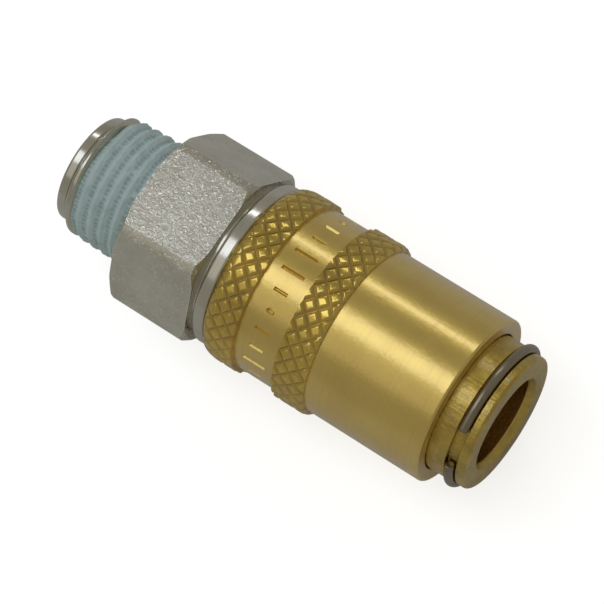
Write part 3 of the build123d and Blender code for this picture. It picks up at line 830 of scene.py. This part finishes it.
def makeKnurl(name, rear, front, envelope):
    bm = diamondSheet(rear, front)
    root = knurlRadius - knurl["depth"]
    hollow = bm.verts.layers.float.new("hollow")
    for vert in bm.verts:
        # the groove bottoms get the darker tone
        vert[hollow] = 1 - ease(vert.co.z / knurl["depth"] * knurl["grooveDarkRise"])
        angle = vert.co.x / knurlRadius
        x = vert.co.y
        radius = min(root + vert.co.z, envelope(x))
        vert.co = (x, radius * math.cos(angle), radius * math.sin(angle))
    bmesh.ops.remove_doubles(bm, verts=bm.verts[:], dist=1e-3)
    trimEnds(bm, rear, front)
    closeInside(bm, sleeve["underKnurl"] - knurl["innerStep"])
    piece = objectFrom(bm, name, finishes["knurlBrass"])
    smoothShade(piece, 35)
    place(piece, "sleeve", "sleeve_brass", "sleeve")


def rearEnvelope(x):
    share = min(max((x - sleeveRear) / knurl["rearRise"], 0), 1)
    return knurlRadius - knurl["rearDrop"] * (1 - math.sqrt(1 - (1 - share) ** 2))


def frontEnvelope(x):
    share = min(max((sleeve["frontKnurlFront"] - x) / knurl["frontFall"], 0), 1)
    return knurlRadius - knurl["frontDrop"] * (1 - math.sqrt(1 - (1 - share) ** 2))


makeSleeveCore()
makeKnurl("rearKnurl", sleeveRear, sleeve["bandRear"], rearEnvelope)
makeKnurl("frontKnurl", sleeve["bandFront"], sleeve["frontKnurlFront"], frontEnvelope)


# coil springs, one end on the body and the other on the part that they push

springs = {
    "valveSpring": {"node": "valve_spring", "wire": 0.25, "turns": 9, "pushes": "valve"},
    "sleeveSpring": {"node": "sleeve_spring", "wire": 0.3, "turns": 5, "pushes": "sleeve_carrier"},
}


def makeSpring(name, spring):
    rear, front, outer = span(spring["node"])
    wire = spring["wire"]
    closedPitch = 2.1 * wire        # the end turns all but touch
    openTurns = spring["turns"] - 2
    openPitch = (front - rear - 2 * wire - 2 * closedPitch) / openTurns
    bm = bmesh.new()
    section = bmesh.ops.create_circle(bm, cap_ends=False, segments=14, radius=wire,
                                      matrix=Matrix.Rotation(math.pi / 2, 4, "X"))["verts"]
    bmesh.ops.translate(bm, vec=(rear + wire, 0, outer - wire), verts=section)
    end = bm.verts[:] + bm.edges[:]
    stepsPerTurn = 48
    for turns, pitch in ((1, closedPitch), (openTurns, openPitch), (1, closedPitch)):
        end = bmesh.ops.spin(bm, geom=end, cent=(0, 0, 0), axis=(1, 0, 0), dvec=(pitch / stepsPerTurn, 0, 0),
                             angle=fullTurn * turns, steps=stepsPerTurn * turns, use_merge=False,
                             use_duplicate=False)["geom_last"]
    bmesh.ops.holes_fill(bm, edges=[edge for edge in bm.edges if edge.is_boundary])
    bmesh.ops.recalc_face_normals(bm, faces=bm.faces[:])
    piece = objectFrom(bm, name, finishes["springSteel"])
    smoothShade(piece)
    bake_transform(piece)
    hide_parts(spring["node"])
    print(piece.name, len(piece.data.polygons), "faces")


for name, spring in springs.items():
    makeSpring(name, spring)


# the rest of the hidden mechanism: the CAD shapes stay, with finished surfaces

inside = {"body_gasket": "rubber", "plug_seal": "rubber", "valve_seal": "rubber", "valve_guide": "valveBrass",
          "valve_collar": "valveBrass", "valve_poppet": "valveBrass", "spring_ring": "springSteel"}
inside.update({name: "ballSteel" for name in nodes if name.startswith("locking_ball")})
for name, finish in inside.items():
    mesh = nodes[name].data
    mesh.materials.clear()
    mesh.materials.append(finishes[finish])
print("inside finished")


# floor, light and camera

studio = {"floorSize": 1.6, "floorGap": 0.01, "floorColour": (0.78, 0.78, 0.77, 1), "floorGlow": 0.92,
          "worldColour": (1.0, 0.975, 0.91, 1), "worldStrength": 0.31, "backdropStrength": 1.0}
lamps = {
    "overhead": {"toward": (-0.30, -0.085, 0.95), "distance": 0.6, "size": (0.5, 0.25), "power": 0.46,
                 "colour": (0.93, 1.0, 1.2)},
    "strip": {"toward": (-0.30, 0.745, 0.595), "distance": 0.6, "size": (0.35, 0.05), "power": 0.17,
              "colour": (0.95, 1.0, 1.1)},
    "fill": {"toward": (-0.30, -0.55, 0.78), "distance": 0.7, "size": (0.5, 0.36), "power": 0.15,
             "colour": (1.0, 0.99, 0.95)},
}
viewpoint = {"aim": (16.464, -0.334, 0.0), "azimuth": -29.238, "elevation": 69.969, "roll": -27.405,
             "distance": 311.283, "lens": 196.69}


def makeFloor():
    material, tree, shader = startMaterial("floorPaper", Roughness=0.7, Specular_IOR_Level=0.2)
    fibre = addNode(tree, "ShaderNodeTexNoise",
                    {"Vector": objectPlace(tree), "Scale": fineness["paper"], "Detail": 3.0})
    tone = mixColour(tree, fibre.outputs["Fac"], studio["floorColour"], shade(studio["floorColour"], 0.98))
    tree.links.new(tone, shader["Base Color"])
    # the paper looks lit through, and only to the camera, so that the metal still mirrors a calmer floor
    seen = addNode(tree, "ShaderNodeLightPath").outputs["Is Camera Ray"]
    shader["Emission Color"].default_value = studio["floorColour"]
    tree.links.new(remap(tree, seen, 0.0, 1.0, 0.0, studio["floorGlow"]), shader["Emission Strength"])
    bump = addNode(tree, "ShaderNodeBump", {"Height": fibre.outputs["Fac"], "Strength": 0.2,
                                            "Distance": 0.02 * mm})
    tree.links.new(bump.outputs["Normal"], shader["Normal"])
    bm = bmesh.new()
    bmesh.ops.create_grid(bm, x_segments=8, y_segments=8, size=studio["floorSize"] / mm / 2)
    bmesh.ops.translate(bm, vec=(0, 0, -knurlRadius - studio["floorGap"]), verts=bm.verts[:])
    objectFrom(bm, "floor", material)


def makeLamps():
    for name, lamp in lamps.items():
        data = bpy.data.lights.new(name, "AREA")
        data.shape = "RECTANGLE"
        data.size, data.size_y = lamp["size"]
        data.energy = lamp["power"]
        data.color = lamp["colour"]
        lampObject = bpy.data.objects.new(name, data)
        bpy.context.scene.collection.objects.link(lampObject)
        back = Vector(lamp["toward"]).normalized()
        along = Vector((1, 0, 0)) - back * back.x
        along.normalize()
        up = back.cross(along)
        turn = Matrix((along, up, back)).transposed().to_4x4()
        lampObject.matrix_world = Matrix.Translation(back * lamp["distance"]) @ turn
    world = bpy.data.worlds.new("studio")
    world.use_nodes = True
    background = world.node_tree.nodes["Background"].inputs
    background["Color"].default_value = studio["worldColour"]
    # like the floor, the far background is brighter to the camera than it is in the metal
    seen = addNode(world.node_tree, "ShaderNodeLightPath").outputs["Is Camera Ray"]
    strength = remap(world.node_tree, seen, 0.0, 1.0, studio["worldStrength"], studio["backdropStrength"])
    world.node_tree.links.new(strength, background["Strength"])
    bpy.context.scene.world = world


def makeCamera():
    azimuth, elevation, roll = (math.radians(viewpoint[key]) for key in ("azimuth", "elevation", "roll"))
    back = Vector((math.cos(elevation) * math.cos(azimuth), math.cos(elevation) * math.sin(azimuth),
                   math.sin(elevation)))
    right = Vector((-math.sin(azimuth), math.cos(azimuth), 0))
    turn = Matrix((right, back.cross(right), back)).transposed().to_4x4() @ Matrix.Rotation(roll, 4, "Z")
    data = bpy.data.cameras.new("camera")
    data.lens = viewpoint["lens"]
    data.sensor_width = 36.0
    camera = bpy.data.objects.new("camera", data)
    bpy.context.scene.collection.objects.link(camera)
    stand = Vector(viewpoint["aim"]) + back * viewpoint["distance"]
    camera.matrix_world = Matrix.Translation(stand * mm) @ turn
    bpy.context.scene.camera = camera


makeFloor()
makeLamps()
makeCamera()
bpy.context.scene.view_settings.view_transform = "Standard"
print("stage, lamps and camera placed")
